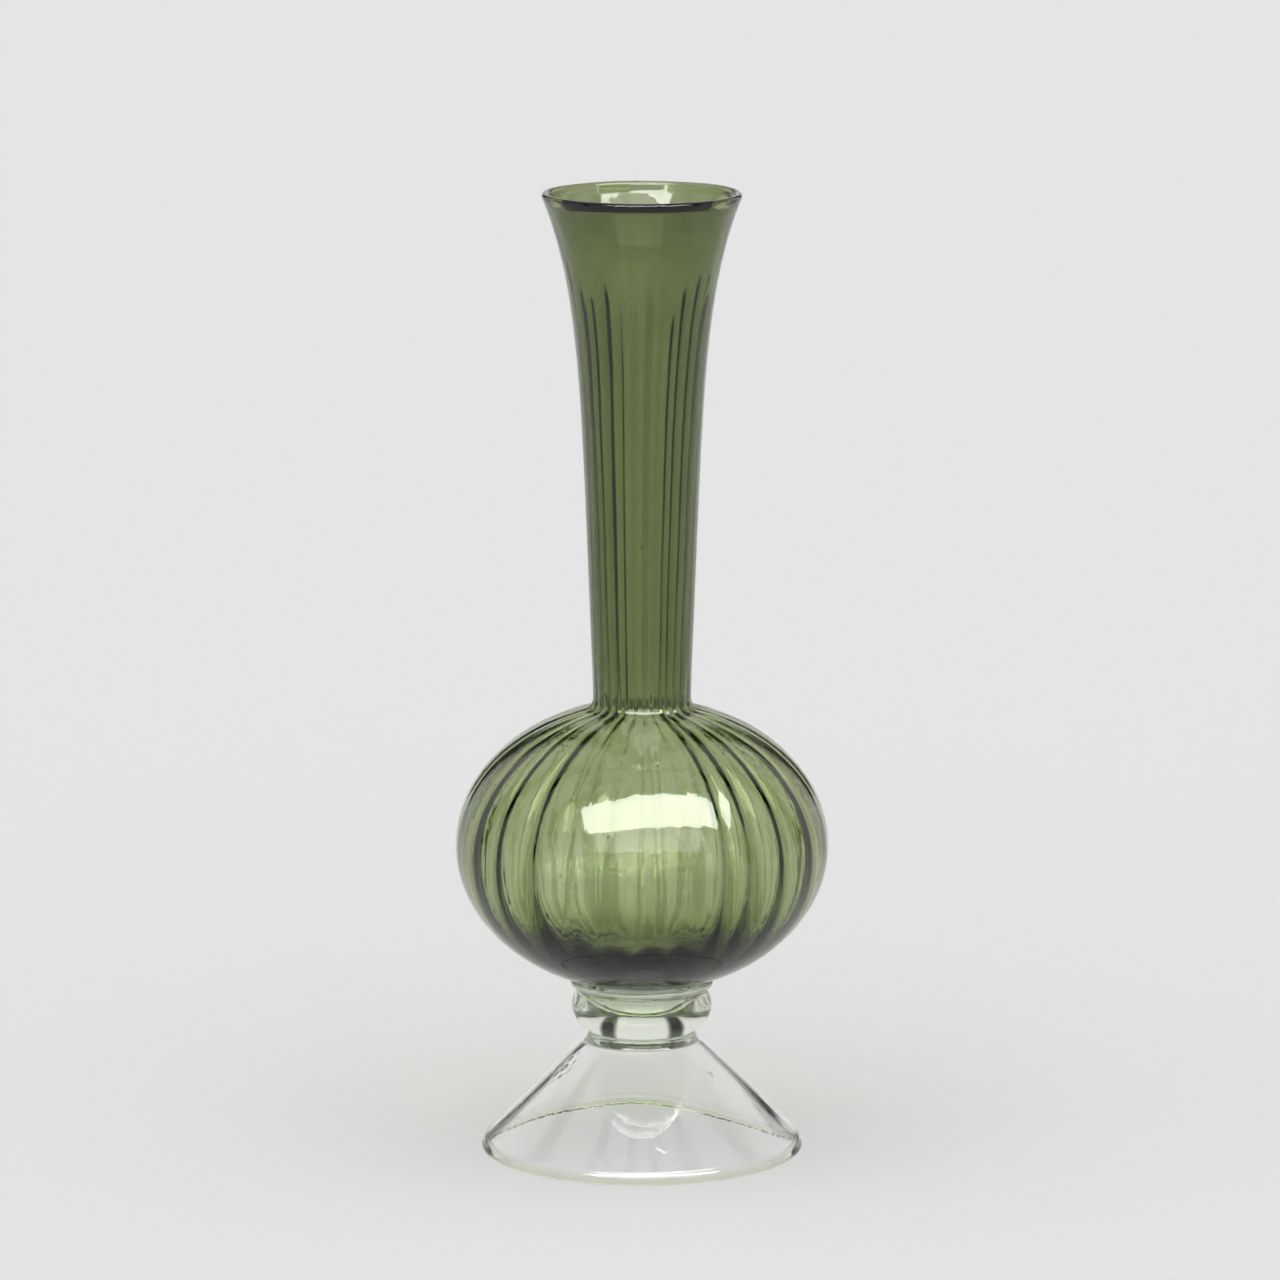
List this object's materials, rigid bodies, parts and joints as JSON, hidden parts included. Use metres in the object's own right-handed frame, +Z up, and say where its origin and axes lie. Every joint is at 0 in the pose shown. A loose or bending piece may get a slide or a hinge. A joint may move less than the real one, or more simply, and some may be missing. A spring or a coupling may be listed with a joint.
{
  "type": "glass bud vase",
  "caption": "Footed glass bud vase with a round ribbed green bulb, long slim neck and flared lip, on a clear glass wafer, knop and hollow foot.",
  "frame": {"origin": "centre of the foot's resting rim, on the surface that the vase stands on", "axes": "+Z up along the axis of the vase, towards the mouth; the vase is round, so +X and +Y are free"},
  "size_m": [0.112, 0.112, 0.2903],
  "materials": {
    "green_glass": "polished",
    "clear_glass": "polished"
  },
  "bodies": {
    "root": {"green_vessel": "green_glass", "clear_wafer": "clear_glass", "clear_knop": "clear_glass", "clear_foot": "clear_glass"}
  },
  "joints": []
}
